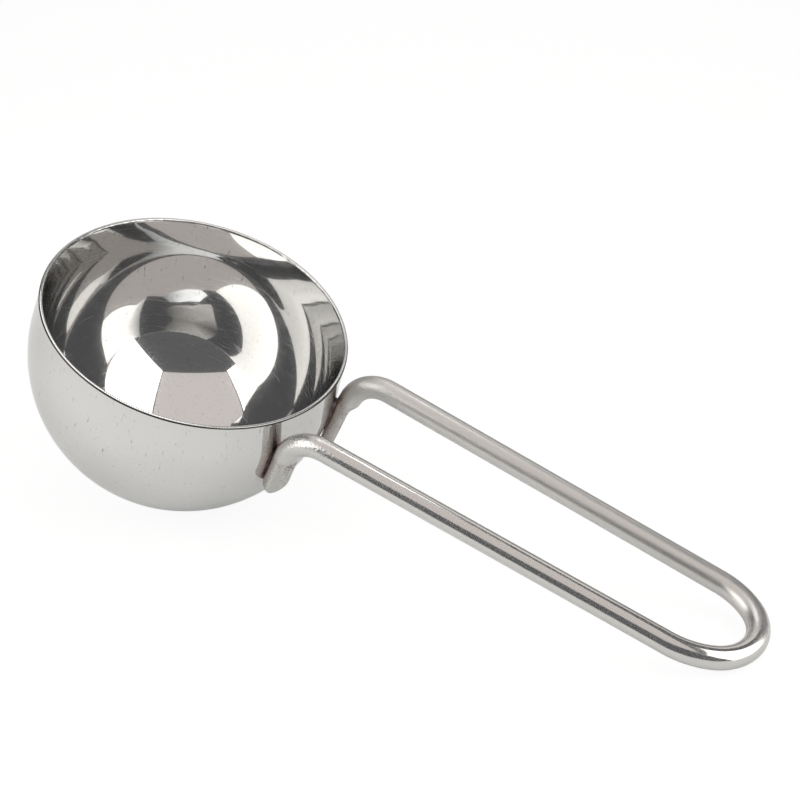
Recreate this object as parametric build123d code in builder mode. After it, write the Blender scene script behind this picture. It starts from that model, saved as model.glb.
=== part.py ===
from build123d import *
from math import asin, atan2, cos, degrees, hypot, pi, radians, sin, sqrt
import os

os.makedirs("parts", exist_ok=True)

# Measuring spoon for a quarter of a cup: a round bowl of polished sheet with a bent wire
# handle, whose two legs are welded to the bowl's wall. Millimetres and degrees.
# It lies as it does on a table, on the bowl's round bottom and the end of the handle.
# The handle points along +X, and the spoon is the same on both sides of y = 0.

# Bowl, drawn from one disc of sheet: a hemisphere with a short straight wall above it
bowl_diameter = 55.0  # outside
sheet = 0.7
wall_height = 8.3
rim_bevel = 0.2  # left on both edges of the rim by the polishing

# Handle, bent from one length of round wire, with its bends measured at the wire's centre
wire_diameter = 4.0
wire_drop = 0.45  # of the wire's centre below the rim, beside the bowl
handle_rise = 3.2  # degrees, going out from the bowl
handle_reach = 73.3  # from the bowl's wall to where the end bend starts
root_spacing = 21.3  # between the two sides of the handle at the front bends
tip_spacing = 19.3  # the same where the end bend starts
foot_spacing = 19.8  # between the legs where they pass nearest to the bowl
shoulder_radius = 13.2  # of each side of the end bend
shoulder_turn = 33.5  # degrees
bend_radius = 7.0  # of the front bends
leg_lean = 7.5  # degrees, in under the bowl

# Feet: the electrode squeezes the end of each leg flat against the bowl
foot_length = 8.0
foot_width = 4.9
foot_inset = 0.6  # the metal spreads towards the other leg
foot_taper = 2.4  # over which the wire widens to the foot
foot_front = 0.6  # from the wire's centre to the flat that the electrode leaves
foot_back = 1.55  # from the wire's centre to the fused metal

# Welds: the fused metal between each foot and the bowl's wall
weld_thickness = 0.3
weld_width = 3.8
weld_length = 6.6

# Radii and angles that follow
bowl_radius = bowl_diameter / 2
wire_radius = wire_diameter / 2
half_root = root_spacing / 2
half_tip = tip_spacing / 2
half_foot = foot_spacing / 2
rise = radians(handle_rise)
lean = radians(leg_lean)

# Each leg passes the centre of the bowl's hemisphere at this distance. It starts from the
# corner where its line meets the line of the handle, a little way out from the wall.
leg_distance = bowl_radius + weld_thickness + foot_back
turn_out = asin(half_foot / leg_distance)
corner_side_distance = (leg_distance - half_root * sin(turn_out)) / cos(turn_out)
centre_drop = wall_height - wire_drop  # from the handle's root down to the centre
corner_reach = (
    corner_side_distance - bowl_radius * cos(lean) + centre_drop * sin(lean)
) / cos(rise + lean)
corner_x = bowl_radius + corner_reach * cos(rise)
corner_z = centre_drop + corner_reach * sin(rise)
corner_rise = corner_x * sin(lean) + corner_z * cos(lean)
corner_spread = half_root * cos(turn_out) - corner_side_distance * sin(turn_out)
corner_height = hypot(corner_rise, corner_spread)
toe_in = atan2(corner_spread, corner_rise)

# End bend: two shoulders and a nose, tangent to each other and to the sides
splay = atan2(half_root - half_tip, handle_reach - corner_reach)
shoulder_end = splay + radians(shoulder_turn)
nose_radius = shoulder_radius - (shoulder_radius * cos(splay) - half_tip) / cos(shoulder_end)
nose_turn = 180 - 2 * degrees(shoulder_end)
handle_length = (
    handle_reach
    + shoulder_radius * (sin(shoulder_end) - sin(splay))
    + nose_radius * (1 - sin(shoulder_end))
)

# Front bend: how far its ends lie from the corner, and the leg's end below its nearest point
sideways = cos(turn_out) * sin(splay) + sin(turn_out) * cos(lean + rise) * cos(splay)
bend_cosine = cos(toe_in) * sin(lean + rise) * cos(splay) - sin(toe_in) * sideways
bend_run = bend_radius * sqrt((1 - bend_cosine) / (1 + bend_cosine))
leg_end_drop = bend_run + foot_length - corner_height

# At rest the hemisphere and the nose of the handle touch the same flat surface
nose_x = bowl_radius + handle_length * cos(rise)
nose_z = centre_drop + handle_length * sin(rise)
nose_distance = hypot(nose_x, nose_z)
foot_step = bowl_radius - wire_radius
rest_tilt = degrees(atan2(nose_z, nose_x) + asin(foot_step / nose_distance))
rest_span = sqrt(nose_distance**2 - foot_step**2)
centre_x = (bowl_radius - rest_span - wire_radius) / 2

# Frames: the hemisphere's centre, the rim, the upright section and the plane of the handle
centre = Location((centre_x, 0, bowl_radius), (0, rest_tilt, 0))
rim_plane = Plane(centre * Location((0, 0, wall_height)))
section_plane = Plane(rim_plane.origin, x_dir=rim_plane.x_dir, z_dir=-rim_plane.y_dir)
bowl_axis = Axis(rim_plane.origin, rim_plane.z_dir)
handle_plane = Plane(
    rim_plane.location * Location((bowl_radius, 0, -wire_drop), (0, -handle_rise, 0))
)


def leg_frame(side, height):
    """A place on the centre line of one leg, with Z up the leg and X straight out from the bowl."""
    leaning = centre * Location((0, 0, 0), (0, leg_lean, 0))
    facing = leaning * Location((0, 0, 0), (0, 0, side * degrees(turn_out)))
    nearest = facing * Location((leg_distance, 0, 0), (-side * degrees(toe_in), 0, 0))
    return nearest * Location((0, 0, height - leg_end_drop))


def bowl_outline(growth):
    """Half of the bowl's outer section, grown all round, to be turned about the bowl's axis."""
    reach = bowl_radius + growth
    with BuildSketch(section_plane) as outline:
        with BuildLine():
            wall = Line((reach, 0), (reach, -wall_height))
            under = JernArc(wall @ 1, (0, -1), reach, -90)
            Polyline(under @ 1, (0, 0), wall @ 0)
        make_face()
    return outline.sketch


# Bowl
with BuildPart() as bowl:
    revolve(bowl_outline(0), axis=bowl_axis)
    top = bowl.faces().sort_by(bowl_axis)[-1]
    offset(amount=-sheet, openings=top)
    chamfer(bowl.edges().group_by(bowl_axis)[-1], length=rim_bevel)

bowl.part.label = "bowl"
export_step(bowl.part, "parts/bowl.step")

# Handle: the wire is bent, squeezed flat at both feet, and sunk as far as the welds
with BuildPart() as handle:
    with BuildLine(handle_plane):
        half = FilletPolyline(
            leg_frame(1, 0).position,
            (corner_reach, half_root, 0),
            (handle_reach, half_tip, 0),
            radius=bend_radius,
        )
        shoulder = JernArc(half @ 1, half % 1, shoulder_radius, -shoulder_turn)
        mirror(about=section_plane)
        JernArc(shoulder @ 1, shoulder % 1, nose_radius, -nose_turn)
    with BuildSketch(Plane(half @ 0, z_dir=half % 0)):
        Circle(wire_radius)
    sweep()

    for side in (1, -1):
        spread = Location((0, -side * foot_inset))
        with BuildSketch(Plane(leg_frame(side, foot_length))):
            Circle(wire_radius)
        with BuildSketch(Plane(leg_frame(side, foot_length - foot_taper))):
            with Locations(spread):
                Circle(foot_width / 2)
        loft()
        with BuildSketch(Plane(leg_frame(side, 0))):
            with Locations(spread):
                Circle(foot_width / 2)
        extrude(amount=foot_length - foot_taper)
        with BuildSketch(Plane(leg_frame(side, 0))):
            with Locations((foot_front, 0)):
                Rectangle(foot_width, 2 * foot_width, align=(Align.MIN, Align.CENTER))
        extrude(amount=foot_length, mode=Mode.SUBTRACT)
    revolve(bowl_outline(weld_thickness), axis=bowl_axis, mode=Mode.SUBTRACT)

handle.part.label = "wire_handle"
export_step(handle.part, "parts/wire_handle.step")

# Welds: a film of fused metal that wraps the bowl's wall behind each foot
for side, name in ((1, "weld_left"), (-1, "weld_right")):
    leg = Plane(leg_frame(side, foot_length / 2))
    with BuildPart() as weld:
        with BuildSketch(Plane(leg.origin, x_dir=leg.z_dir, z_dir=leg.x_dir)):
            with Locations((0, side * foot_inset)):
                SlotOverall(weld_length, weld_width)
        extrude(amount=foot_back + wire_diameter, both=True)
        revolve(bowl_outline(weld_thickness), axis=bowl_axis, mode=Mode.INTERSECT)
        revolve(bowl_outline(0), axis=bowl_axis, mode=Mode.SUBTRACT)
    weld.part.label = name
    export_step(weld.part, f"parts/{name}.step")

print(f"rest tilt {rest_tilt:.2f} degrees, length {rest_span + wire_radius + bowl_radius:.1f} mm")
inner_radius = bowl_radius - sheet
capacity = pi * inner_radius**2 * (wall_height + inner_radius * 2 / 3)
print(f"capacity {capacity / 1000:.1f} ml, nose radius {nose_radius:.2f} mm")
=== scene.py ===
# %% [markdown]
# # A measuring spoon in polished steel
# This lesson dresses the CAD model of a small measuring spoon. The real one has two parts: a
# bowl drawn from steel sheet and polished like a mirror, and a handle bent from round steel wire
# and welded to the bowl's wall. Metal this bright has hardly any colour of its own, so most of
# the work is in clean, smooth shapes and in the white tent that they reflect.

# %% The frame
from math import asin, atan2, cos, degrees, pi, radians, sin, tan

import bpy
import bmesh
from mathutils import Matrix, Vector
from mathutils.kdtree import KDTree


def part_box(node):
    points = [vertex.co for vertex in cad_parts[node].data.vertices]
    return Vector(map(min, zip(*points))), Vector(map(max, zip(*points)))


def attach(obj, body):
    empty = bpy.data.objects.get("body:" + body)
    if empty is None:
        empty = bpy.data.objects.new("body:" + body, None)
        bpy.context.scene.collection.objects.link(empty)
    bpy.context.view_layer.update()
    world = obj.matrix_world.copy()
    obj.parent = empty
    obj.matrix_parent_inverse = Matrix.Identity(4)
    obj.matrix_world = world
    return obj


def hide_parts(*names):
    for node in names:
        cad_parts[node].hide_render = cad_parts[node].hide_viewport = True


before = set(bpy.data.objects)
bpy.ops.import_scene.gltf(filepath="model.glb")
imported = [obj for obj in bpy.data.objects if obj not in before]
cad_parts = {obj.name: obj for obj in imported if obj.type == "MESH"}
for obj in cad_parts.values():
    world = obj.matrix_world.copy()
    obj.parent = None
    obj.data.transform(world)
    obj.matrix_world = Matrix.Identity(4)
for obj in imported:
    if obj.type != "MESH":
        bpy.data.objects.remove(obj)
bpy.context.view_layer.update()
mm = 0.001
print("CAD nodes:", ", ".join(sorted(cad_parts)))

# %% [markdown]
# ## Sizes
# The bowl's radius and centre are measured on the CAD node. The handle's sizes are the ones that
# a wire bender works from, all taken at the wire's centre, and they repeat the CAD model's.

# %% Sizes
bowl_low, bowl_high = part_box("bowl")
bowl_radius = (bowl_high.y - bowl_low.y) / 2
bowl_centre = Vector((bowl_low.x + bowl_radius, 0, bowl_low.z + bowl_radius))
sheet = 0.7 * mm
wall_height = 8.3 * mm
rest_tilt = radians(19.51)

wire_radius = 2.0 * mm
wire_drop = 0.45 * mm  # of the wire's centre below the rim, beside the bowl
handle_rise = radians(3.2)
handle_reach = 73.3 * mm  # from the bowl's wall to where the end bend starts
half_root = 10.65 * mm  # half the distance between the handle's sides, at the front bends
half_tip = 9.65 * mm  # the same where the end bend starts
half_foot = 9.9 * mm  # the same at the feet
shoulder_radius = 13.2 * mm
shoulder_turn = radians(33.5)
bend_radius = 7.0 * mm
leg_lean = radians(7.5)
leg_gap = 1.85 * mm  # from the bowl's wall to the wire's centre, at the feet
leg_distance = bowl_radius + leg_gap
foot_length = 8.0 * mm
weld_thickness = 0.3 * mm
print("bowl radius in mm:", round(bowl_radius / mm, 2))

# %% [markdown]
# ## Working as by hand
# An operator works on everything that is selected, and the loaded CAD nodes are. These helpers
# clear the selection first, and pick vertices by where they are. A place that is tested against
# a plane gets a little slack, because computed places are never quite exact.


# %% Helpers for modelling
slack = 0.01 * mm


def clear_selection():
    """Leaves edit mode and selects nothing."""
    if bpy.context.object and bpy.context.object.mode == "EDIT":
        bpy.ops.object.mode_set(mode="OBJECT")
    bpy.ops.object.select_all(action="DESELECT")


def select_only(piece):
    """Leaves edit mode and selects this piece alone."""
    clear_selection()
    bpy.context.view_layer.objects.active = piece
    piece.select_set(True)


def edit(piece):
    """Selects one piece alone and enters edit mode on it."""
    select_only(piece)
    bpy.ops.object.mode_set(mode="EDIT")


def pick(piece, test):
    """Selects the vertices of the piece in edit mode whose place passes the test."""
    mesh = bmesh.from_edit_mesh(piece.data)
    bpy.ops.mesh.select_all(action="DESELECT")
    for vertex in mesh.verts:
        vertex.select = test(vertex.co)
    mesh.select_flush(True)
    bmesh.update_edit_mesh(piece.data)
    return sum(vertex.select for vertex in mesh.verts)


def settle(piece, name):
    """Names the new piece and puts its place into its mesh."""
    select_only(piece)
    bpy.ops.object.transform_apply(location=True, rotation=True, scale=True)
    piece.name = name
    piece.data.name = name
    return piece


def add_and_apply(piece, kind, **settings):
    """Adds a modifier with its settings and applies it."""
    select_only(piece)
    modifier = piece.modifiers.new(kind.title(), kind)
    for key, value in settings.items():
        setattr(modifier, key, value)
    bpy.ops.object.modifier_apply(modifier=modifier.name)


# %% [markdown]
# ## Colours and nodes
# Colours are written as sRGB hex values, as they are read in a picture, and Blender's sockets
# want linear light. One function turns one into the other. Another adds a node: it sets the
# node's properties, and then fills its sockets, each with a value or with a link from another
# node. Where a link names only a node, it comes from that node's first output.


# %% Helpers for materials
def linear(colour, alpha=1.0):
    """An sRGB hex colour as linear red, green, blue and alpha."""
    parts = [int(colour[i : i + 2], 16) / 255 for i in (1, 3, 5)]
    return [p / 12.92 if p <= 0.04045 else ((p + 0.055) / 1.055) ** 2.4 for p in parts] + [alpha]


def node(owner, kind, settings={}, sockets={}):
    """Adds a node with its properties, and gives its sockets their values or links."""
    made = owner.node_tree.nodes.new(kind)
    for key, value in settings.items():
        setattr(made, key, value)
    for key, value in sockets.items():
        source = value.outputs[0] if isinstance(value, bpy.types.Node) else value
        if isinstance(source, bpy.types.NodeSocket):
            owner.node_tree.links.new(source, made.inputs[key])
        else:
            made.inputs[key].default_value = source
    return made


def new_material(name):
    """A material with an empty node tree."""
    material = bpy.data.materials.new(name)
    material.use_nodes = True
    material.node_tree.nodes.clear()
    return material


def dress(piece, material):
    """Gives the piece this material alone."""
    piece.data.materials.clear()
    piece.data.materials.append(material)
    print(material.name, "has nodes:", len(material.node_tree.nodes))


# %% [markdown]
# ## The camera
# The photograph was taken with a long lens from about half a metre, looking down past the near
# side of the handle. The lens and the place were worked out from the outline of the rim.

# %% Camera
bpy.ops.object.camera_add(
    location=(0.22324, -0.34601, 0.28017),
    rotation=(radians(58.6612), radians(2.4154), radians(31.1243)),
)
camera = bpy.context.object
camera.data.lens = 129.07
camera.data.sensor_width = 36.0
camera.data.clip_end = 10.0
bpy.context.scene.camera = camera
print("camera's distance in m:", round((camera.location - bowl_centre).length, 2))

# %% [markdown]
# ## The table
# The spoon lies on a white table. A camera ray sees it as nearly the plain white of the
# photograph, with a faint shadow. Every other ray sees a matt white sheet, which is what the
# underside of the bowl mirrors, and a mirror also sees a little of the plain white.

# %% Table
white_to_camera, white_in_mirrors = 0.86, 0.1
paper = new_material("matt_white_paper")
path = node(paper, "ShaderNodeLightPath")
matt = node(paper, "ShaderNodeBsdfDiffuse", {}, {"Color": linear("#F2F4F4")})
glow = node(paper, "ShaderNodeEmission", {}, {"Color": linear("#FFFFFF"), "Strength": 1.05})
mirrored = node(paper, "ShaderNodeMath", {"operation": "MULTIPLY"}, {
    0: path.outputs["Is Glossy Ray"], 1: white_in_mirrors,
})
seen = node(paper, "ShaderNodeMath", {"operation": "MULTIPLY_ADD"}, {
    0: path.outputs["Is Camera Ray"], 1: white_to_camera, 2: mirrored,
})
blend = node(paper, "ShaderNodeMixShader", {}, {0: seen, 1: matt, 2: glow})
node(paper, "ShaderNodeOutputMaterial", {}, {"Surface": blend})

clear_selection()
bpy.ops.mesh.primitive_plane_add(size=3.0, location=(0, 0, 0))
table = settle(bpy.context.object, "table")
dress(table, paper)

# %% [markdown]
# ## The tent
# A mirror shows the room. The photograph's room is a white tent, open at the front where the
# camera looks in. The bowl shows its pale ceiling, two white side walls, a bright strip high at
# the back, a dimmer sheet under it and the dark room behind the camera. The tent is a few glowing
# cards, which only reflections and light see. A card glows more at some corners than at others,
# as cloth does that is lit from one side, so each corner carries its own strength. The first
# helpers give the corners' places as the bowl sees them.


# %% Helpers for the tent
tent_height = 0.33
tent_light = 1.13  # times every strength, so that the steel is as bright as in the photograph
seam = 1.03  # how far out a wall stands, in shares of the ceiling's reach
table_gap = 0.5 * mm


def direction(azimuth, from_zenith, share=1.6):
    """A point seen from the bowl in this direction, in degrees, so many tent heights away."""
    turn, fall = radians(azimuth), radians(from_zenith)
    way = Vector((sin(fall) * cos(turn), sin(fall) * sin(turn), cos(fall)))
    return bowl_centre + way * share * tent_height


def overhead(x, y):
    """A point of the ceiling, in shares of the tent's height from above the bowl."""
    return bowl_centre + Vector((x, y, 1)) * tent_height


def beside(x, y, away=1):
    """The top of a wall, which leaves a narrow dark seam beside the ceiling."""
    return bowl_centre + Vector((x * seam, y * seam, 1)) * tent_height * away


def at_table(x, y, away=1):
    """The foot of a wall, just above the table."""
    reach = tent_height * away
    return Vector((bowl_centre.x + x * reach, bowl_centre.y + y * reach, table_gap))


def card(name, tint, corners):
    """A glowing card through these corners, each a place and a strength."""
    clear_selection()
    bpy.ops.mesh.primitive_circle_add(vertices=len(corners), fill_type="NGON")
    piece = settle(bpy.context.object, name)
    for vertex, (place, _) in zip(piece.data.vertices, corners):
        vertex.co = place
    edit(piece)
    bpy.ops.mesh.select_all(action="SELECT")
    bpy.ops.mesh.poke()
    bpy.ops.object.mode_set(mode="OBJECT")
    strengths = [tent_light * strength for _, strength in corners]
    strengths.append(sum(strengths) / len(strengths))
    piece.data.attributes.new("glow", "FLOAT", "POINT").data.foreach_set("value", strengths)
    light = new_material(name + "_light")
    strength = node(light, "ShaderNodeAttribute", {"attribute_name": "glow"}).outputs["Fac"]
    glow = node(light, "ShaderNodeEmission", {}, {"Color": linear(tint), "Strength": strength})
    node(light, "ShaderNodeOutputMaterial", {}, {"Surface": glow})
    dress(piece, light)
    piece.visible_camera = False


# %% [markdown]
# The ceiling's outline is read from its reflection in the bowl, and the walls hang from its
# corners. The right wall stands further off than the left. The end of the handle is nearer to it
# than the bowl is, and sees a far wall in nearly the same directions as the bowl does.

# %% Ceiling and walls
front_right, back_right = (1.055, -0.556), (0.353, 0.423)
front_left, mid_left, back_left = (-0.092, -1.172), (-0.62, -0.377), (-0.47, -0.20)
back_edge = [(0.127, 0.408), (-0.125, 0.29), (-0.49, 0.114)]
outline = [front_right, front_left, mid_left, back_left, *reversed(back_edge), back_right]
card("ceiling", "#F5EDE9", [(overhead(*corner), 0.84) for corner in outline])
card("right_wall", "#FFFCF8", [
    (beside(*front_right, away=3), 2.6), (beside(*back_right, away=3), 2.4),
    (at_table(0.5, 0.38, away=1.5), 1.9), (at_table(0.85, -0.12, away=1.5), 2.6),
])
card("left_wall", "#FFFCF8", [
    (beside(*front_left), 2.5), (beside(*mid_left), 2.4),
    (at_table(-0.6, -0.45), 2.1), (at_table(-0.52, -0.78), 2.5),
])
card("left_corner", "#FFFCF8", [
    (beside(*mid_left), 2.4), (beside(*back_left), 1.1),
    (at_table(-0.64, -0.1), 0.5), (at_table(-0.6, -0.45), 2.1),
])

# %% [markdown]
# The back of the tent is lit from above, so its strip under the ceiling is the brightest thing
# that the bowl shows, and the sheet below it grows dim towards the table.

# %% Back of the tent
card("back_strip", "#FFFFFF", [
    (overhead(*back_edge[0]), 2.4), (direction(72.5, 31.5, 1.12), 2.4),
    (direction(95, 40, 1.16), 2.4), (direction(128.6, 38, 1.14), 2.0),
    (direction(146, 36, 1.12), 0.9), (overhead(*back_edge[2]), 0.35),
    (overhead(*back_edge[1]), 2.0),
])
card("back_sheet", "#FFFAF6", [
    (direction(78, 45), 1.15), (direction(80, 67), 0.8), (direction(100, 68), 0.8),
    (direction(140, 66), 0.3), (direction(155, 47), 0.16), (direction(140, 43), 0.5),
    (direction(110, 46), 1.2),
])
card("back_foot", "#FFFAF6", [
    (direction(80, 67), 0.8), (direction(77, 84), 0.12), (direction(120, 84), 0.08),
    (direction(160, 84), 0.08), (direction(140, 66), 0.3), (direction(100, 68), 0.8),
])

# %% [markdown]
# Everything that isn't a card is the dark room outside the tent, which the camera sees as plain
# white. Light goes from wall to wall many times inside a bowl of bright steel, and each bounce
# counts, so many are allowed.

# %% Room
world = bpy.data.worlds.new("dark_room")
bpy.context.scene.world = world
world.use_nodes = True
world.node_tree.nodes.clear()
path = node(world, "ShaderNodeLightPath")
white = node(world, "ShaderNodeBackground", {}, {"Color": linear("#FFFFFF"), "Strength": 1.0})
dark = node(world, "ShaderNodeBackground", {}, {"Color": linear("#6E6E70"), "Strength": 1.0})
blend = node(world, "ShaderNodeMixShader", {}, {
    0: path.outputs["Is Camera Ray"], 1: dark, 2: white,
})
node(world, "ShaderNodeOutputWorld", {}, {"Surface": blend})
bpy.context.scene.view_settings.view_transform = "Standard"
bpy.context.scene.cycles.max_bounces = 24
bpy.context.scene.cycles.glossy_bounces = 20
print("bounces of a reflection:", bpy.context.scene.cycles.glossy_bounces)

# %% [markdown]
# ## The bowl
# The bowl is pressed from one round of sheet, so it is a surface of revolution. It starts as a
# sphere that is cut a little above its middle. The cut edge is extruded up in small steps, and
# each step scales it a little, because the real wall isn't quite straight: it draws in above the
# sphere and flares again at the rim, by a tenth of a millimetre. The dark and pale bands near
# the rim come from that.


# %% Profile of the bowl
lowest_slope = radians(-3.5)
wall_slopes = [(0.0, radians(3.0)), (0.4, radians(-1.5)), (1.0, lowest_slope)]
wall_foot = -sin(lowest_slope) * bowl_radius
wall_steps = 16


def slope_at(share):
    """The wall's lean outwards at a share of the way from the rim down to its foot."""
    for (start, first), (end, second) in zip(wall_slopes, wall_slopes[1:]):
        if share <= end:
            return first + (second - first) * (share - start) / (end - start)


print("foot of the wall above the sphere's middle in mm:", round(wall_foot / mm, 2))

# %% [markdown]
# A mirror shows every facet of the shape that it lies on, so the sphere gets many more of them
# than a matt piece would need. Solidify comes later, because one wall is easier to shape than two.

# %% Bowl
bowl_turn = Matrix.Rotation(rest_tilt, 4, "Y")
bowl_frame = Matrix.Translation(bowl_centre) @ bowl_turn
bowl_up = bowl_turn @ Vector((0, 0, 1))


def above_centre(place):
    """Height above the middle of the bowl's sphere, along the bowl's axis."""
    return (place - bowl_centre).dot(bowl_up)


clear_selection()
bpy.ops.mesh.primitive_uv_sphere_add(
    segments=384,
    ring_count=128,
    radius=bowl_radius,
    location=bowl_centre,
    rotation=(0, rest_tilt, 0),
)
bowl = settle(bpy.context.object, "polished_bowl")
edit(bowl)
bpy.ops.mesh.select_all(action="SELECT")
foot_plane = bowl_centre + bowl_up * wall_foot
bpy.ops.mesh.bisect(plane_co=foot_plane, plane_no=bowl_up, clear_outer=True)
on_cut = pick(bowl, lambda place: above_centre(place) > wall_foot - slack)
print("vertices on the cut edge:", on_cut)
step_up = (wall_height - wall_foot) / wall_steps
ring = bowl_radius * cos(lowest_slope)
for step in range(wall_steps):
    bpy.ops.mesh.extrude_region_move(TRANSFORM_OT_translate={"value": bowl_up * step_up})
    next_ring = ring + step_up * tan(slope_at(1 - (step + 0.5) / wall_steps))
    middle = foot_plane + bowl_up * step_up * (step + 1)
    bpy.ops.transform.resize(value=(next_ring / ring,) * 3, center_override=middle)
    ring = next_ring
rim_radius = ring
print("radius of the rim in mm:", round(rim_radius / mm, 2))
bpy.ops.mesh.select_all(action="SELECT")
bpy.ops.mesh.remove_doubles(threshold=0.1 * slack)
bpy.ops.mesh.normals_make_consistent(inside=False)
bpy.ops.object.mode_set(mode="OBJECT")

# %% [markdown]
# The feet of the handle will be cut to the bowl's round wall with a slightly grown copy of this
# shape. The gap that it leaves is as thick as the weld.

# %% Seat form
select_only(bowl)
bpy.ops.object.duplicate()
seat_form = bpy.context.object
seat_form.name = "seat_form"
edit(seat_form)
pick(seat_form, lambda place: above_centre(place) > wall_height - slack)
bpy.ops.mesh.edge_face_add()
bpy.ops.mesh.select_all(action="SELECT")
grown = (bowl_radius + weld_thickness) / bowl_radius
bpy.ops.transform.resize(value=(grown, grown, grown), center_override=bowl_centre)
bpy.ops.object.mode_set(mode="OBJECT")
print("seat form grown by a factor of:", round(grown, 4))

# %% [markdown]
# Solidify gives the sheet its thickness, inwards, so that the outside keeps its size. Polishing
# rounds the two edges of the rim, and a bevel on the flat ring between them does the same. It also
# takes the short edges across the ring, and their strips overlap by hundredths of a millimetre.
# Picking only the two long rings of edges would avoid that.

# %% Sheet and rim
rim_low = wall_height - 0.05 * mm  # the thickened rim isn't quite level
add_and_apply(bowl, "SOLIDIFY", thickness=sheet, offset=-1, use_even_offset=True)
edit(bowl)
print("vertices on the rim:", pick(bowl, lambda place: above_centre(place) > rim_low))
bpy.ops.mesh.bevel(offset=0.26 * mm, segments=5, profile=0.5, affect="EDGES")
select_only(bowl)
bpy.ops.object.shade_smooth()
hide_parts("bowl")
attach(bowl, "root")
print("bowl faces:", len(bowl.data.polygons))

# %% [markdown]
# ## The handle
# The handle is one wire. Half of it is drawn the way that it is bent: a ring starts at the foot
# of one leg, and is extruded along each straight and spun round each bend, as far as the middle
# of the end. A mirror makes the other half. First come the points that the bends turn on.

# %% Path of the wire
turn_out = asin(half_foot / leg_distance)
centre_drop = wall_height - wire_drop
corner_side_distance = (leg_distance - half_root * sin(turn_out)) / cos(turn_out)
corner_reach = (
    corner_side_distance - bowl_radius * cos(leg_lean) + centre_drop * sin(leg_lean)
) / cos(handle_rise + leg_lean)
out_way = Vector((cos(handle_rise), 0, sin(handle_rise)))
root = Vector((bowl_radius, 0, centre_drop))
corner = bowl_frame @ (root + out_way * corner_reach + Vector((0, half_root, 0)))
tip = bowl_frame @ (root + out_way * handle_reach + Vector((0, half_tip, 0)))
leg_turn = Matrix.Rotation(leg_lean, 4, "Y") @ Matrix.Rotation(turn_out, 4, "Z")
nearest = bowl_frame @ (leg_turn @ Vector((leg_distance, 0, 0)))

leg_way = (corner - nearest).normalized()
side_way = (tip - corner).normalized()
plane_normal = bowl_turn @ Vector((-sin(handle_rise), 0, cos(handle_rise)))
front_turn = leg_way.angle(side_way)
bend_run = bend_radius * tan(front_turn / 2)
leg_end = corner - leg_way * (bend_run + foot_length)
splay = atan2(half_root - half_tip, handle_reach - corner_reach)
shoulder_end = splay + shoulder_turn
nose_radius = shoulder_radius - (shoulder_radius * cos(splay) - half_tip) / cos(shoulder_end)
print("front bend in degrees:", round(degrees(front_turn), 1))

# %% [markdown]
# Three helpers draw the wire. Each works on the ring that is selected, and keeps a list of the
# places that the ring's centre has passed, from which the wire's map is made later.


# %% Steps of the drawing
def draw_step(move, ratio=1.0):
    """Extrudes the selected ring by one move and scales it about its new centre."""
    bpy.ops.mesh.extrude_region_move(TRANSFORM_OT_translate={"value": move})
    centres.append(centres[-1] + move)
    bpy.ops.transform.resize(value=(ratio, ratio, ratio), center_override=centres[-1])


def draw_straight(way, length, steps):
    """Extrudes the selected ring along a straight."""
    for _ in range(steps):
        draw_step(way * (length / steps))


def draw_bend(way, axis, radius, angle, steps):
    """Spins the selected ring round a bend, and returns the way it points afterwards."""
    hub = centres[-1] + axis.cross(way) * radius
    bpy.ops.mesh.spin(steps=steps, angle=-angle, center=hub, axis=axis)
    arm = centres[-1] - hub
    for step in range(steps):
        centres.append(hub + Matrix.Rotation(angle * (step + 1) / steps, 3, axis) @ arm)
    return Matrix.Rotation(angle, 3, axis) @ way


# %% [markdown]
# The welder's electrode squeezes the last 8 mm of each leg, so the wire spreads there and gets a
# flat in front. The drawing starts with that wider foot, whose end is rounded by a few rings.
# The two real feet aren't alike. The nearer one reaches 1.5 mm further than the CAD model's, which
# is the mean of the two, and both are drawn that long.

# %% Foot
foot_radius = 2.45 * mm
foot_inset = 0.6 * mm  # the metal spreads towards the other leg
foot_taper = 2.4 * mm
taper_steps = 6
foot_front = 0.6 * mm  # from the wire's centre to the flat
end_round = 1.7 * mm  # radius of the rounded end
round_steps = 5
end_past = 1.5 * mm
first_ring = 0.5 * mm
leg_front = (bowl_turn @ leg_turn @ Vector((1, 0, 0))).normalized()
inward = leg_front.cross(leg_way)
centres = [leg_end - leg_way * end_past + inward * foot_inset]

clear_selection()
bpy.ops.mesh.primitive_circle_add(
    vertices=48,
    radius=first_ring,
    location=centres[0],
    rotation=leg_way.to_track_quat("Z", "Y").to_euler(),
)
wire = settle(bpy.context.object, "wire")
edit(wire)
bpy.ops.mesh.select_all(action="SELECT")
ring, drop = first_ring, 0.0
end_rings = [(1.0 * mm, 0.0), (foot_radius - end_round, 0.0)]  # smoothing spreads these evenly
for step in range(round_steps):
    turn = pi / 2 * (step + 1) / round_steps
    end_rings.append((foot_radius - end_round * (1 - sin(turn)), end_round * (1 - cos(turn))))
for next_ring, next_drop in end_rings:
    draw_step(leg_way * (next_drop - drop), next_ring / ring)
    ring, drop = next_ring, next_drop
draw_straight(leg_way, end_past + foot_length - foot_taper - end_round, steps=12)
for step in range(taper_steps):
    eased = [0.5 - 0.5 * cos(pi * (step + n) / taper_steps) for n in (0, 1)]
    next_ring = foot_radius + (wire_radius - foot_radius) * eased[1]
    back = inward * foot_inset * (eased[0] - eased[1])
    draw_step(leg_way * (foot_taper / taper_steps) + back, next_ring / ring)
    ring = next_ring
print("rings in the foot:", len(centres))

# %% [markdown]
# From the foot the wire goes round the front bend, out along the side, and round one shoulder
# and half of the nose, which are bent flat in the handle's own plane.

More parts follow.
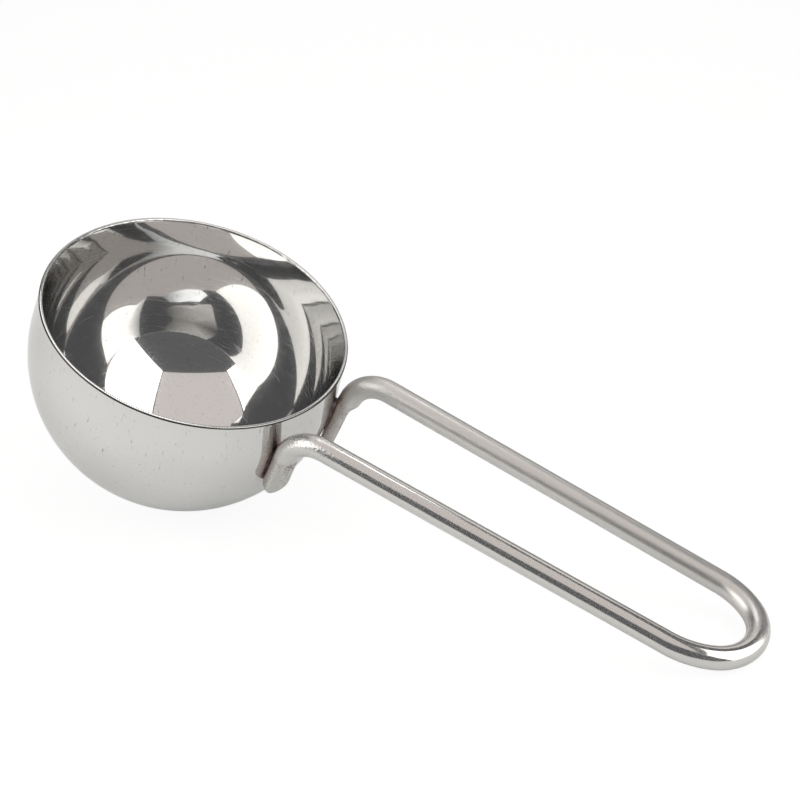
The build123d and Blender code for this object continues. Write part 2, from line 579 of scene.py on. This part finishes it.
# %% Bends and sides
front_axis = leg_way.cross(side_way).normalized()
way = draw_bend(leg_way, front_axis, bend_radius, front_turn, steps=28)
draw_straight(way, (tip - corner).length - bend_run, steps=36)
way = draw_bend(way, -plane_normal, shoulder_radius, shoulder_turn, steps=12)
draw_bend(way, -plane_normal, nose_radius, pi / 2 - shoulder_end, steps=16)
print("the half wire ends at y in mm:", round(centres[-1].y / mm, 3), "after rings:", len(centres))
bpy.ops.mesh.select_all(action="SELECT")
bpy.ops.mesh.remove_doubles(threshold=0.1 * slack)

# %% [markdown]
# Scaling to nothing along one direction presses everything that stands in front of a plane flat,
# just as the electrode does. A little smoothing then rounds the hard edge that this leaves.


# %% Flat of the electrode
def up_leg(place):
    """How far up the leg a place lies, from the end of the CAD model's foot."""
    return (place - leg_end).dot(leg_way)


def under_electrode(place):
    """Whether a place stands in front of the electrode's plane."""
    in_front = (place - leg_end).dot(leg_front) > foot_front
    return in_front and up_leg(place) < foot_length - 0.5 * mm


def on_first_ring(place):
    """Whether a place is on the ring that the drawing started from, which is still open."""
    return up_leg(place) < slack - end_past and (place - centres[0]).length < 1.2 * first_ring


def in_reach_of_smoothing(place):
    """Whether a place is on the foot or its taper."""
    return up_leg(place) < foot_length + 0.6 * mm and place.x < corner.x


print("vertices under the electrode:", pick(wire, under_electrode))
bpy.ops.transform.resize(
    value=(1, 1, 0),
    orient_type="GLOBAL",
    orient_matrix=leg_front.to_track_quat("Z", "Y").to_matrix(),
    orient_matrix_type="GLOBAL",
    constraint_axis=(False, False, True),
    center_override=leg_end + leg_front * foot_front,
)
print("vertices round the end:", pick(wire, on_first_ring))
bpy.ops.mesh.edge_face_add()
pick(wire, in_reach_of_smoothing)
bpy.ops.mesh.vertices_smooth(factor=0.5, repeat=4)
bpy.ops.mesh.select_all(action="SELECT")
bpy.ops.mesh.normals_make_consistent(inside=False)
bpy.ops.object.mode_set(mode="OBJECT")

# %% [markdown]
# The wire's finish has a grain that runs along it, so the wire gets a UV map: one coordinate is
# the distance along the wire's centre and the other the distance round it, both in metres.

# %% Map along the wire
tangents = [(b - a).normalized() for a, b in zip(centres, centres[1:])]
tangents.append(tangents[-1])
lengths, across = [0.0], [leg_front.copy()]
for before, after, start, end in zip(tangents, tangents[1:], centres, centres[1:]):
    lengths.append(lengths[-1] + (end - start).length)
    across.append(before.rotation_difference(after) @ across[-1])
tree = KDTree(len(centres))
for index, centre in enumerate(centres):
    tree.insert(centre, index)
tree.balance()


def along_and_round(place):
    """Distance along the wire and angle round it, for a place on its surface."""
    _, index, _ = tree.find(place)
    arm, tangent = place - centres[index], tangents[index]
    first = across[index]
    angle = atan2(arm.dot(tangent.cross(first)), arm.dot(first))
    return lengths[index] + arm.dot(tangent), angle


mesh = wire.data
found = [along_and_round(vertex.co) for vertex in mesh.vertices]
layer = mesh.uv_layers.new(name="wire_map")
for face in mesh.polygons:
    middle = found[face.vertices[0]][1]
    for loop, vertex in zip(face.loop_indices, face.vertices):
        length, angle = found[vertex]
        angle += 2 * pi * round((middle - angle) / (2 * pi))
        layer.data[loop].uv = (length, angle * wire_radius)
print("half the wire in mm:", round(lengths[-1] / mm, 1))

# %% [markdown]
# The mirror joins the two halves in the middle of the nose, and the seat form then cuts both
# feet to the roundness of the wall. The flats keep their edges when everything else is shaded
# smooth.

# %% Whole wire
add_and_apply(wire, "MIRROR", use_axis=(False, True, False), merge_threshold=slack)
add_and_apply(wire, "BOOLEAN", operation="DIFFERENCE", object=seat_form, solver="EXACT")
bpy.data.objects.remove(seat_form)
select_only(wire)
bpy.ops.object.shade_smooth_by_angle(angle=radians(40))
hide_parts("wire_handle")
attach(wire, "root")
print("wire faces:", len(wire.data.polygons))

# %% [markdown]
# ## Patterns in steel
# Most marks on the metal are a noise that is stretched a lot in one direction, of which only the
# highest places are kept. The first helper makes one from the size of its grains. The next ones
# lay colours over each other, add up what makes a surface rough, and end a material of bare metal.
# Steel is all reflection, so its shader is a metal that the relief bends a little.


# %% Helpers for patterns
smooth = {"interpolation_type": "SMOOTHSTEP"}
times = {"operation": "MULTIPLY"}
higher = {"operation": "MAXIMUM"}
times_and_plus = {"operation": "MULTIPLY_ADD"}


def speckle(material, source, size, low, high, detail=2.0):
    """Noise with grains of this size in metres: 0 where it is under one value, 1 over another."""
    shares = [1 / length for length in size]
    scaled = node(material, "ShaderNodeMapping", {}, {"Vector": source, "Scale": shares})
    noise = node(material, "ShaderNodeTexNoise", {}, {
        "Vector": scaled, "Scale": 1.0, "Detail": detail,
    })
    return node(material, "ShaderNodeMapRange", smooth, {
        "Value": noise, "From Min": low, "From Max": high,
    })


def lay_colours(material, base, coats):
    """A base colour under coats of others, each with its share of the surface."""
    under, over, mixed = 6, 7, 2  # the sockets that a Mix node has for colours
    colour = linear(base)
    for share, coat in coats:
        sockets = {0: share, under: colour, over: linear(coat)}
        colour = node(material, "ShaderNodeMix", {"data_type": "RGBA"}, sockets).outputs[mixed]
    return colour


def add_up(material, start, terms):
    """The sum of a start and each of these values times its weight."""
    total = start
    for value, weight in terms:
        total = node(material, "ShaderNodeMath", times_and_plus, {0: value, 1: weight, 2: total})
    return total


def bare_metal(material, colour, rough, height, depth, strength):
    """Ends a material with a relief of this depth, a metal and the output."""
    relief = node(material, "ShaderNodeBump", {}, {
        "Height": height, "Distance": depth, "Strength": strength,
    })
    metal = node(material, "ShaderNodeBsdfPrincipled", {}, {
        "Base Color": colour, "Metallic": 1.0, "Roughness": rough, "Normal": relief,
    })
    node(material, "ShaderNodeOutputMaterial", {}, {"Surface": metal})


# %% [markdown]
# Where a mark lies is measured too. One helper gives coordinates in the bowl's own frame, upright
# and centred on its ball, and another the distance from the nearer foot, where 1 is the foot's
# own outline. The two feet mirror each other, so folding one side over the other serves both.


# %% Helpers for places
def bowl_place(material):
    """The place, the same in the bowl's frame, its parts, and the distance from the ball's
    centre, or from the axis above it."""
    place = node(material, "ShaderNodeTexCoord").outputs["Object"]
    upright = node(material, "ShaderNodeMapping", {"vector_type": "TEXTURE"}, {
        "Vector": place, "Location": bowl_centre, "Rotation": (0, rest_tilt, 0),
    })
    parts = node(material, "ShaderNodeSeparateXYZ", {}, {0: upright}).outputs
    below = node(material, "ShaderNodeMath", {"operation": "MINIMUM"}, {0: parts[2], 1: 0.0})
    level = node(material, "ShaderNodeCombineXYZ", {}, {0: parts[0], 1: parts[1], 2: below})
    reach = node(material, "ShaderNodeVectorMath", {"operation": "LENGTH"}, {0: level})
    return place, upright, parts, reach.outputs["Value"]


def reach_from(material, source, middle, size, turn=(0, 0, 0)):
    """Distance from a middle, where 1 is so far along each of the turned axes."""
    moved = node(material, "ShaderNodeMapping", {"vector_type": "TEXTURE"}, {
        "Vector": source, "Location": middle, "Rotation": turn, "Scale": size,
    })
    reach = node(material, "ShaderNodeVectorMath", {"operation": "LENGTH"}, {0: moved})
    return reach.outputs["Value"]


def foot_reach(material, place):
    """Distance from the nearer foot's middle, 1 at the foot's outline."""
    parts = node(material, "ShaderNodeSeparateXYZ", {}, {0: place}).outputs
    side = node(material, "ShaderNodeMath", {"operation": "ABSOLUTE"}, {0: parts[1]})
    folded = node(material, "ShaderNodeCombineXYZ", {}, {0: parts[0], 1: side, 2: parts[2]})
    middle = leg_end + leg_way * foot_length / 2 + inward * foot_inset
    turn = Matrix((leg_front, -inward, leg_way)).transposed().to_euler()
    size = (8 * mm, foot_radius, foot_length / 2 + 0.3 * mm)
    return reach_from(material, folded, middle, size, turn)


# %% [markdown]
# ## Polished sheet
# The sheet is stainless steel, which mirrors about two thirds of the light and hardly tints it.
# It has been buffed on a turning wheel, which leaves a mirror with faults that the eye reads as
# steel: a haze of hairlines too fine to see singly, a few longer hairlines that run round the
# bowl, and dark pits and dashes. Real hairlines are about 0.01 mm wide, and they are drawn
# 0.15 mm wide, as fine as the picture can show.

# %% Polished sheet
mirror = new_material("buffed_stainless_sheet")
place, upright, parts, reach = bowl_place(mirror)
flat = node(mirror, "ShaderNodeVectorMath", times, {0: upright, 1: (1, 1, 0)})
from_axis = node(mirror, "ShaderNodeVectorMath", {"operation": "LENGTH"}, {0: flat})
from_axis = from_axis.outputs["Value"]
fall = node(mirror, "ShaderNodeMath", {"operation": "ARCTAN2"}, {0: from_axis, 1: parts[2]})
down = node(mirror, "ShaderNodeMath", times, {0: fall, 1: bowl_radius})
round_bowl = node(mirror, "ShaderNodeCombineXYZ", {}, {0: parts[0], 1: parts[1], 2: down})
haze = speckle(mirror, upright, (0.05 * mm,) * 3, 0.58, 0.72, detail=0.0)
hairlines = speckle(mirror, round_bowl, (7 * mm, 7 * mm, 0.15 * mm), 0.62, 0.72)
pits = speckle(mirror, upright, (0.35 * mm,) * 3, 0.70, 0.76)
dashes = speckle(mirror, upright, (0.3 * mm, 0.3 * mm, 2.5 * mm), 0.67, 0.75)
marks = node(mirror, "ShaderNodeMath", higher, {0: pits, 1: dashes})
dark_marks = node(mirror, "ShaderNodeMath", times, {0: marks, 1: 0.6})
print("nodes for the marks of buffing:", len(mirror.node_tree.nodes))

# %% [markdown]
# The heat of the welding tints the steel round each foot from straw to brown, on the outside. Where
# the foot touches, a darker brown named scale is painted as the shade in the crevice.

# %% Heat tint and painted crevice shade on the sheet
outside = node(mirror, "ShaderNodeMapRange", smooth, {
    "Value": reach, "From Min": bowl_radius - 0.5 * mm, "From Max": bowl_radius - 0.3 * mm,
})
from_foot = foot_reach(mirror, place)
round_foot = node(mirror, "ShaderNodeMapRange", smooth, {
    "Value": from_foot, "From Min": 1.6, "From Max": 0.9, "To Max": 0.4,
})
# Painted shade: a darker brown at the edge of the foot's contact, where the crevice lies in shade.
shade_under_foot = node(mirror, "ShaderNodeMapRange", smooth, {
    "Value": from_foot, "From Min": 0.98, "From Max": 0.85, "To Max": 0.3,
})
tint = node(mirror, "ShaderNodeMath", times, {0: outside, 1: round_foot})
# The colour named scale is painted shade in the crevice where the foot touches.
scale = node(mirror, "ShaderNodeMath", times, {0: outside, 1: shade_under_foot})
print("nodes with the heat tint:", len(mirror.node_tree.nodes))

# %% [markdown]
# The rim is so thin that its two rounded edges show as two dark lines of shade, which are painted
# into the colour, and the inner one is broken. Each is kept to its own rounding by its height and
# its distance from the bowl's axis.

# %% Painted shade on the edges of the rim
inner_radius = rim_radius - sheet
at_top = node(mirror, "ShaderNodeMapRange", smooth, {
    "Value": parts[2], "From Min": wall_height - 0.34 * mm, "From Max": wall_height - 0.22 * mm,
})
outer = node(mirror, "ShaderNodeMapRange", smooth, {
    "Value": from_axis, "From Min": rim_radius - 0.20 * mm, "From Max": rim_radius - 0.10 * mm,
})
inner = node(mirror, "ShaderNodeMapRange", smooth, {
    "Value": from_axis, "From Min": inner_radius + 0.16 * mm, "From Max": inner_radius + 0.08 * mm,
})
broken = speckle(mirror, round_bowl, (1 * mm, 1 * mm, 0.5 * mm), 0.35, 0.65)
faint = node(mirror, "ShaderNodeMath", times, {0: broken, 1: 0.6})
edges = node(mirror, "ShaderNodeMath", times_and_plus, {0: inner, 1: faint, 2: outer})
# Painted shade along the rim's two rounded edges.
painted_edge_shade = node(mirror, "ShaderNodeMath", times, {0: at_top, 1: edges})
print("inner radius of the rim in mm:", round(inner_radius / mm, 2))

# %% [markdown]
# The marks give the sheet its colour and its roughness. The press also leaves a faint waviness,
# with a wave about every 17 mm, which bends the reflections a little.

# %% Finish of the sheet
# In these colours, scale and the dark rim edges are painted shade; the heat tint and the buffing
# marks are the metal's own.
colour = lay_colours(mirror, "#D3D3D2", [
    (tint, "#AB8272"), (scale, "#756459"), (dark_marks, "#575553"), (painted_edge_shade, "#373534"),
])
rough = add_up(mirror, 0.02, [(haze, 0.16), (hairlines, 0.16), (scale, 0.4)])
waves = node(mirror, "ShaderNodeTexNoise", {}, {"Vector": place, "Scale": 60.0, "Detail": 0.0})
bare_metal(mirror, colour, rough, waves, depth=0.02 * mm, strength=1.0)
dress(bowl, mirror)

# %% [markdown]
# ## Drawn wire
# Wire is pulled through a die, which leaves a grain along it. On this handle the side nearer to
# the camera was buffed afterwards, so its reflections are crisp, and the other side was left
# satin. Round the front bends and on the feet the buffing wheel can't reach, and the bending tool
# and the electrode leave the metal mottled. All of this goes by the distance along the wire.

# %% Drawn wire
satin = new_material("drawn_stainless_wire")
place, _, _, reach = bowl_place(satin)
wire_map = node(satin, "ShaderNodeUVMap", {"uv_map": "wire_map"})
length, round_wire, _ = node(satin, "ShaderNodeSeparateXYZ", {}, {0: wire_map}).outputs
side = node(satin, "ShaderNodeSeparateXYZ", {}, {0: place}).outputs[1]
foot_top = end_past + foot_length
bend_end = foot_top + bend_radius * front_turn
unbuffed = node(satin, "ShaderNodeMapRange", smooth, {
    "Value": side, "From Min": -half_tip * 0.6, "From Max": half_tip * 0.6,
})
worked = node(satin, "ShaderNodeMapRange", smooth, {
    "Value": length, "From Min": bend_end + 7 * mm, "From Max": bend_end - 3 * mm,
})
pressed = node(satin, "ShaderNodeMapRange", smooth, {
    "Value": length, "From Min": foot_top + 0.4 * mm, "From Max": foot_top - 0.6 * mm,
})
grain = speckle(satin, wire_map, (3 * mm, 0.12 * mm, 1), 0.4, 0.7)
orange_peel = speckle(satin, place, (0.4 * mm,) * 3, 0.35, 0.65)
fine = speckle(satin, place, (0.06 * mm,) * 3, 0.56, 0.70, detail=0.0)
print("the foot and the front bend end after mm:", round(foot_top / mm, 1), round(bend_end / mm, 1))

# %% [markdown]
# The wire takes the same heat tint as the sheet, deepest where it is nearest to the bowl's wall. On
# the feet, within about half a millimetre of the wall, a darker brown named scale is painted as the
# shade in the crevice.

# %% Heat tint and painted crevice shade on the wire
near_bowl = node(satin, "ShaderNodeMath", {"operation": "SUBTRACT"}, {0: reach, 1: bowl_radius})
on_leg = node(satin, "ShaderNodeMapRange", smooth, {
    "Value": length, "From Min": foot_top + 5 * mm, "From Max": foot_top,
})
by_wall = node(satin, "ShaderNodeMapRange", smooth, {
    "Value": near_bowl, "From Min": 2.6 * mm, "From Max": 0.6 * mm, "To Max": 0.4,
})
# Painted shade in the crevice between the foot and the wall.
shade_at_wall = node(satin, "ShaderNodeMapRange", smooth, {
    "Value": near_bowl, "From Min": 0.6 * mm, "From Max": 0.35 * mm, "To Max": 0.35,
})
tint = node(satin, "ShaderNodeMath", times, {0: on_leg, 1: by_wall})
# The colour named scale is painted crevice shade.
scale = node(satin, "ShaderNodeMath", times, {0: pressed, 1: shade_at_wall})
print("nodes with the heat tint:", len(satin.node_tree.nodes))

# %% [markdown]
# The electrode marks what it presses. It leaves dull clouds on the flats, and on the nearer foot
# it has also bitten into the inner edge, halfway up. The bite is a ball of space in which another
# noise shows.

# %% Marks of the electrode
cloudy = speckle(satin, place, (0.7 * mm,) * 3, 0.35, 0.65)
faint = node(satin, "ShaderNodeMath", times, {0: cloudy, 1: 0.4})
clouds = node(satin, "ShaderNodeMath", times, {0: pressed, 1: faint})

bite_up, bite_in, bite_size = 4.8 * mm, 1.7 * mm, 1.8 * mm
bite_place = leg_end + leg_way * bite_up + leg_front * foot_front + inward * bite_in
bite_place.y *= -1
bite = node(satin, "ShaderNodeMapRange", smooth, {
    "Value": reach_from(satin, place, bite_place, (bite_size,) * 3),
    "From Min": 1.0, "From Max": 0.5, "To Max": 0.85,
})
crumbs = speckle(satin, place, (0.4 * mm,) * 3, 0.48, 0.58)
bitten = node(satin, "ShaderNodeMath", times, {0: bite, 1: crumbs})
print("bite at y in mm:", round(bite_place.y / mm, 1))

# %% [markdown]
# The electrode's rim has dug a crease across the front of each foot, 1.5 mm under the foot's top.
# The crease isn't modelled in the mesh: its dark line is painted shade, made of two smooth steps,
# one up to the line and one down from it. The flats have pits as well.

# %% Painted crease shade and pits
crease_at, crease_half = foot_top - 1.5 * mm, 0.25 * mm
crease_start = node(satin, "ShaderNodeMapRange", smooth, {
    "Value": length, "From Min": crease_at - crease_half, "From Max": crease_at,
})
crease_end = node(satin, "ShaderNodeMapRange", smooth, {
    "Value": length, "From Min": crease_at + crease_half, "From Max": crease_at, "To Max": 0.45,
})
off_front = node(satin, "ShaderNodeMath", {"operation": "ABSOLUTE"}, {0: round_wire})
in_front = node(satin, "ShaderNodeMapRange", smooth, {
    "Value": off_front, "From Min": 3.0 * mm, "From Max": 2.0 * mm,
})
line = node(satin, "ShaderNodeMath", times, {0: crease_start, 1: crease_end})
# Painted shade of the crease, across the front of the foot.
crease_shade = node(satin, "ShaderNodeMath", times, {0: in_front, 1: line})
pits = speckle(satin, place, (0.4 * mm,) * 3, 0.62, 0.70)
shallow = node(satin, "ShaderNodeMath", times, {0: pits, 1: 0.6})
bite_and_crease_shade = node(satin, "ShaderNodeMath", higher, {0: bitten, 1: crease_shade})
dug = node(satin, "ShaderNodeMath", higher, {0: bite_and_crease_shade, 1: shallow})
# The dark marks on the feet are the pits and the bite, with the crease's painted shade.
dark_marks = node(satin, "ShaderNodeMath", times, {0: pressed, 1: dug})
print("crease across the foot after mm:", round(crease_at / mm, 1))

# %% [markdown]
# As on the sheet, the marks give the wire its colour and roughness. Its relief is the grain, and
# where the metal was worked, a surface like orange peel.

# %% Finish of the wire
# In these colours, scale and the crease's line among the dark marks are painted shade.
colour = lay_colours(satin, "#CBCAC8", [
    (tint, "#A68D83"), (scale, "#756459"), (clouds, "#B3B1AC"), (dark_marks, "#534C47"),
])
rough = add_up(satin, 0.06, [(fine, 0.3), (unbuffed, 0.22), (grain, 0.08), (worked, 0.16)])
mottle = node(satin, "ShaderNodeMath", times, {0: orange_peel, 1: worked})
height = add_up(satin, mottle, [(grain, 0.02)])
bare_metal(satin, colour, rough, height, depth=0.035 * mm, strength=0.8)
dress(wire, satin)

# %% [markdown]
# ## Welds
# The two welds stay as the CAD model has them: thin films of metal that melted between the foot
# and the wall. Metal that has melted in the open is rough, with brown and blue scale.

# %% Fused metal
fused = new_material("fused_weld_metal")
place = node(fused, "ShaderNodeTexCoord").outputs["Object"]
patches = speckle(fused, place, (0.7 * mm,) * 3, 0.35, 0.65)
colour = lay_colours(fused, "#5B463B", [(patches, "#6C6A72")])
height = speckle(fused, place, (0.3 * mm,) * 3, 0.3, 0.7)
bare_metal(fused, colour, 0.5, height, depth=0.05 * mm, strength=0.6)
for name in ("weld_left", "weld_right"):
    dress(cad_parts[name], fused)
